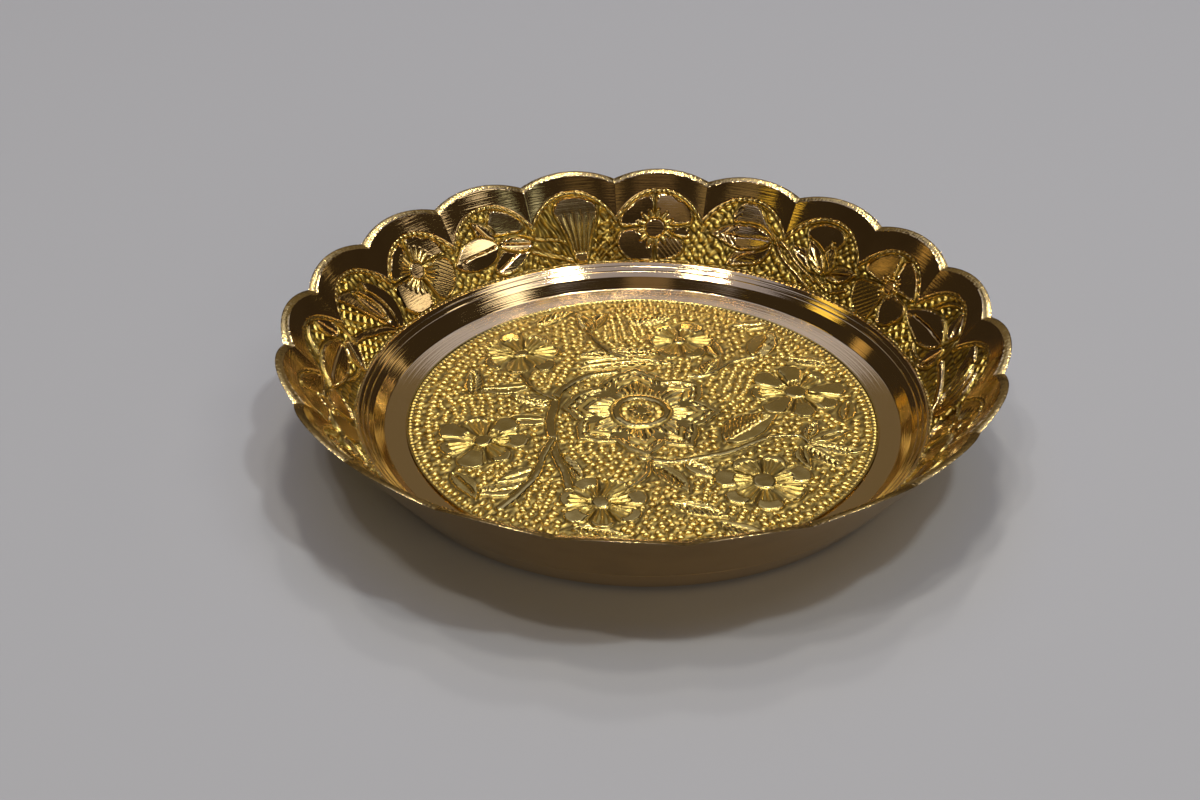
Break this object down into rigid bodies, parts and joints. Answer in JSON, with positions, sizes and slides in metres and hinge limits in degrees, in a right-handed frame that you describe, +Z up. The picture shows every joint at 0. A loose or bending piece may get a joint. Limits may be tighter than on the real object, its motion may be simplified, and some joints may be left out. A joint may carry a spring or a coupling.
{
  "type": "puja thali",
  "caption": "Small round brass puja dish with a lobed, fluted sloping wall, stepped turned floor, carved centre disc and low foot ring; rests flat on a table.",
  "frame": {"origin": "centre of the foot ring's underside, on the surface that the dish stands on", "axes": "+Z up along the dish's axis of symmetry; the middle of one lobe lies on +X"},
  "size_m": [0.1, 0.1, 0.0173],
  "materials": {
    "cast_brass": "cast and chased, bright on the heights, dull gold in the sunk ground",
    "turned_brass": "turned and polished, fine lathe lines, brownish patina",
    "chased_brass": "punched and chased relief, matt gold ground",
    "spelter": "pale brass spelter, filed flush"
  },
  "bodies": {
    "root": {"scalloped_wall": "cast_brass", "base_pan": "turned_brass", "engraved_disc": "chased_brass", "foot_ring": "turned_brass", "wall_braze": "spelter", "disc_braze": "spelter", "foot_braze": "spelter"}
  },
  "joints": []
}
